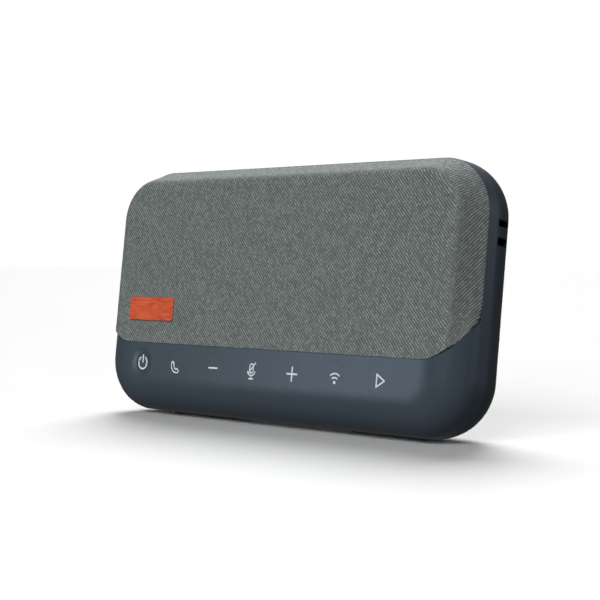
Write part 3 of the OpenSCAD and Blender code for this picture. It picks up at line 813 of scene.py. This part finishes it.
rubber = Finish("black_rubber", Specular_IOR_Level=0.35)
spot = rubber.place()
dust = rubber.noise(spot, 3.0, 4.0)
grain = rubber.noise(spot, 0.3, 2.0)
rubber.set("Base Color", rubber.mix(dust, (0.014, 0.015, 0.017), (0.034, 0.035, 0.038)))
rubber.set("Roughness", 0.62 + 0.2 * dust)
rubber.bump(grain, 0.03)
dressed(rubber.material, "case_gasket")
for name in ("stand_foot_left", "stand_foot_right"):
    foot = welded(name, name + "_moulded")
    break_edges(foot, FOOT_EDGE, lambda middles: np.ones(len(middles)), segments=3)
    smooth(foot, RUBBER_SHARP_FROM)
    fitted(foot, rubber.material, stands_for=name)

plated = Finish("zinc_plate", Metallic=1.0)
spot = plated.place()
stain = plated.noise(spot, 1.2, 3.0)
turned_marks = plated.noise(spot, 0.15, 2.0)
plated.set("Base Color", plated.mix(stain, (0.50, 0.51, 0.52), (0.66, 0.67, 0.68)))
plated.set("Roughness", 0.26 + 0.16 * turned_marks)
plated.bump(turned_marks, 0.006)
dressed(plated.material, "case_screws")

# ---------------------------------------------------------------------------
# The pad on the back: a sheet of black rubber let into the cover, with rows
# of small moulded pips so that it doesn't slide when it lies on its back.
# ---------------------------------------------------------------------------

PAD_FACE = PAD_BACK + PAD_PROUD
PAD_EDGE = [
    (0.0, PAD_BACK - 0.6), (0.0, PAD_BACK + 0.3), (0.08, PAD_BACK + 0.52),
    (0.28, PAD_BACK + 0.71), (0.6, PAD_FACE), (1.2, PAD_FACE),
    (1.5, PAD_FACE - 0.15), (1.8, PAD_FACE - 0.15), (2.1, PAD_FACE),
]
PIP_R, PIP_FLAT, PIP_PITCH, PIP_MARGIN = 0.9, 0.35, 4.0, 3.0
PIP_COLUMNS, PIP_ROWS = 33, 13

pad = slab("rear_rubber_pad", 0, 0, PAD_W, PAD_H, PAD_R, 12, 1, PAD_EDGE)
smooth(pad, RUBBER_SHARP_FROM)
fitted(pad, rubber.material, stands_for="rear_pad")

# The pips are one small dome, repeated over a staggered grid by a node tree.
bm = bmesh.new()
bmesh.ops.create_icosphere(bm, subdivisions=2, radius=PIP_R * MM)
bmesh.ops.scale(bm, vec=(1, PIP_FLAT, 1), verts=bm.verts)
for face in bm.faces:
    face.smooth = True
dome = meshed(bm, "pip_shape")

tree = bpy.data.node_groups.new("pad_pips", "GeometryNodeTree")
tree.interface.new_socket("Geometry", in_out="INPUT", socket_type="NodeSocketGeometry")
for name, kind in (
    ("Width", "NodeSocketFloat"), ("Height", "NodeSocketFloat"),
    ("Columns", "NodeSocketInt"), ("Rows", "NodeSocketInt"), ("Stagger", "NodeSocketFloat"),
    ("Pip", "NodeSocketObject"), ("Rubber", "NodeSocketMaterial"),
):
    tree.interface.new_socket(name, in_out="INPUT", socket_type=kind)
tree.interface.new_socket("Geometry", in_out="OUTPUT", socket_type="NodeSocketGeometry")


def step(kind, operation=None, **inputs):
    """Adds a node to the pips' tree. Its inputs are numbers, or other nodes' outputs."""
    node = tree.nodes.new(kind)
    if operation:
        node.operation = operation
    for name, value in inputs.items():
        slot = node.inputs[int(name[1:]) if name[1:].isdigit() else name.replace("_", " ")]
        if isinstance(value, bpy.types.NodeSocket):
            tree.links.new(value, slot)
        else:
            slot.default_value = value
    return node.outputs


given = step("NodeGroupInput")
grid = step(
    "GeometryNodeMeshGrid", Size_X=given["Width"], Size_Y=given["Height"],
    Vertices_X=given["Columns"], Vertices_Y=given["Rows"],
)
index = step("GeometryNodeInputIndex")[0]
row = step("ShaderNodeMath", "MODULO", i0=index, i1=given["Rows"])[0]
odd = step("ShaderNodeMath", "MODULO", i0=row, i1=2.0)[0]
shift = step("ShaderNodeMath", "MULTIPLY", i0=odd, i1=given["Stagger"])[0]
offset = step("ShaderNodeCombineXYZ", X=shift)[0]
moved = step("GeometryNodeSetPosition", Geometry=grid["Mesh"], Offset=offset)[0]
upright = step(
    "GeometryNodeTransform", Geometry=moved, Rotation=(math.pi / 2 - LEAN, 0, 0),
    Translation=stood(0, 0, PAD_FACE),
)[0]
shape = step("GeometryNodeObjectInfo", Object=given["Pip"])["Geometry"]
placed = step(
    "GeometryNodeInstanceOnPoints", Points=upright, Instance=shape, Rotation=(-LEAN, 0, 0)
)[0]
real = step("GeometryNodeRealizeInstances", Geometry=placed)[0]
painted = step("GeometryNodeSetMaterial", Geometry=real, Material=given["Rubber"])[0]
step("NodeGroupOutput", Geometry=painted)

host = added("pip_host", bpy.data.meshes.new("pip_host"))
grown = host.modifiers.new("pips", "NODES")
grown.node_group = tree
for item in tree.interface.items_tree:
    if item.in_out == "INPUT" and item.name != "Geometry":
        grown[item.identifier] = {
            "Width": (PIP_COLUMNS - 1) * PIP_PITCH * MM,
            "Height": (PIP_ROWS - 1) * PIP_PITCH * MM,
            "Columns": PIP_COLUMNS, "Rows": PIP_ROWS, "Stagger": PIP_PITCH / 2 * MM,
            "Pip": dome, "Rubber": rubber.material,
        }[item.name]
ready = host.evaluated_get(bpy.context.evaluated_depsgraph_get())
pip_mesh = bpy.data.meshes.new_from_object(ready)
bpy.data.objects.remove(host)
bpy.data.objects.remove(dome)

# Pips that would stand in the pad's rounded corners are left off, whole.
bm = bmesh.new()
bm.from_mesh(pip_mesh)
bm.verts.ensure_lookup_table()
from_middle = np.abs(along_casing([v.co for v in bm.verts])[:, :2])
past_corner = np.maximum(from_middle - (PAD_W / 2 - PAD_R, PAD_H / 2 - PAD_R), 0)
stray = np.linalg.norm(past_corner, axis=1) > PAD_R - PIP_MARGIN
left_off = set()
queue = [bm.verts[i] for i in np.flatnonzero(stray)]
while queue:
    at = queue.pop()
    if at not in left_off:
        left_off.add(at)
        queue += [e.other_vert(at) for e in at.link_edges]
bmesh.ops.delete(bm, geom=list(left_off), context="VERTS")
pips = meshed(bm, "pad_pips")
fitted(pips, rubber.material)

# ---------------------------------------------------------------------------
# Under the cloth: the frame that it is glued to, moulded in black plastic,
# with the sound box and the cradle for the cell in the same plastic.
# ---------------------------------------------------------------------------

black_plastic = moulded("black_moulding", (0.016, 0.017, 0.019), 0.5, 0.03, 0.15)
dressed(black_plastic, "grille_frame", "sound_box", "battery_cradle")

# ---------------------------------------------------------------------------
# Behind the keys: their board with its domes, lamps and screws, and the amber
# film that joins it to the main board.
# ---------------------------------------------------------------------------

green_board = Finish("solder_resist", Roughness=0.35)
spot = green_board.place()
glass = green_board.noise(spot, 0.5, 2.0)
tracks = ((green_board.noise(spot, 2.4, 0.0) * 9.0).part() - 0.5) * 1.6 + 0.5
green_board.set(
    "Base Color", green_board.mix(tracks, (0.010, 0.070, 0.034), (0.018, 0.115, 0.056))
)
green_board.set("Roughness", 0.28 + 0.14 * glass)
green_board.bump(tracks, 0.02)
dressed(green_board.material, "key_board", "main_board", "usb_board",
        "mic_board_left", "mic_board_right")
dressed(plated.material, "key_domes", "key_board_screws", "main_board_screws",
        "usb_board_screws", "sound_box_screws", "driver_screws")

lamp = Finish("lamp_resin", Subsurface_Weight=0.2, Roughness=0.3)
lamp_tone = lamp.noise(lamp.place(), 0.6)
lamp.set("Base Color", lamp.mix(lamp_tone, (0.72, 0.74, 0.70), (0.86, 0.87, 0.84)))
dressed(lamp.material, "key_lamps")

film = Finish("amber_film", Roughness=0.25)
film_tone = film.noise(film.place(), 2.0, 3.0)
film.set("Base Color", film.mix(film_tone, (0.33, 0.12, 0.014), (0.50, 0.20, 0.03)))
film.set("Roughness", 0.2 + 0.15 * film_tone)
dressed(film.material, "key_flex")

# ---------------------------------------------------------------------------
# The driver and its two passive radiators: pressed frames painted black, a
# nickelled magnet, cones of coated paper and surrounds of soft rubber.
# ---------------------------------------------------------------------------

black_paint = Finish("frame_paint", Roughness=0.4)
spot = black_paint.place()
peel = black_paint.noise(spot, 0.8, 2.0)
black_paint.set("Base Color", black_paint.mix(peel, (0.018, 0.018, 0.020), (0.034, 0.034, 0.037)))
black_paint.set("Roughness", 0.34 + 0.14 * peel)
black_paint.bump(peel, 0.015)
dressed(black_paint.material, "driver_basket", "radiator_frame_left", "radiator_frame_right")

nickel = Finish("nickel_plate", Metallic=1.0)
cloudy = nickel.noise(nickel.place(), 2.5, 4.0)
nickel.set("Base Color", nickel.mix(cloudy, (0.44, 0.43, 0.40), (0.60, 0.58, 0.54)))
nickel.set("Roughness", 0.22 + 0.2 * cloudy)
dressed(nickel.material, "driver_magnet")

cone = Finish("coated_paper", Specular_IOR_Level=0.3)
spot = cone.place()
fibres = cone.noise(spot, 0.4, 5.0, 0.7)
cone.set("Base Color", cone.mix(fibres, (0.030, 0.030, 0.032), (0.062, 0.062, 0.064)))
cone.set("Roughness", 0.6 + 0.25 * fibres)
cone.bump(fibres, 0.05)
dressed(cone.material, "driver_cone", "driver_dust_cap",
        "radiator_plate_left", "radiator_plate_right")
dressed(rubber.material, "driver_surround", "radiator_surround_left",
        "radiator_surround_right", "sound_box_gasket", "mic_boot_left", "mic_boot_right")

# ---------------------------------------------------------------------------
# The main board's parts, the wrapped cell, the two short leads, and the
# charging socket, a folded steel shell.
# ---------------------------------------------------------------------------

chips = moulded("chip_resin", (0.022, 0.022, 0.024), 0.45, 0.02, 0.12)
dressed(chips, "main_board_parts")

wrap = Finish("cell_wrap", Roughness=0.22)
wrinkle = wrap.noise(wrap.place(), 6.0, 3.0)
wrap.set("Base Color", wrap.mix(wrinkle, (0.012, 0.062, 0.16), (0.02, 0.09, 0.22)))
wrap.set("Roughness", 0.16 + 0.16 * wrinkle)
wrap.bump(wrinkle, 0.2)
dressed(wrap.material, "battery_cell")

for name, dark, light, lead in (
    ("red_insulation", (0.30, 0.012, 0.010), (0.44, 0.022, 0.018), "battery_lead"),
    ("black_insulation", (0.010, 0.010, 0.011), (0.020, 0.020, 0.022), "driver_lead"),
):
    insulation = Finish(name, Roughness=0.3)
    scuffs = insulation.noise(insulation.place(), 0.7, 3.0)
    insulation.set("Base Color", insulation.mix(scuffs, dark, light))
    insulation.set("Roughness", 0.26 + 0.2 * scuffs)
    dressed(insulation.material, lead)

steel = Finish("socket_steel", Metallic=1.0)
spot = steel.place()
drawn = steel.noise(spot, 0.12, 3.0)
steel.set("Base Color", steel.mix(steel.noise(spot, 1.5), (0.46, 0.47, 0.48), (0.60, 0.61, 0.62)))
steel.set("Roughness", 0.24 + 0.18 * drawn)
steel.bump(drawn, 0.004)
dressed(steel.material, "usb_socket")
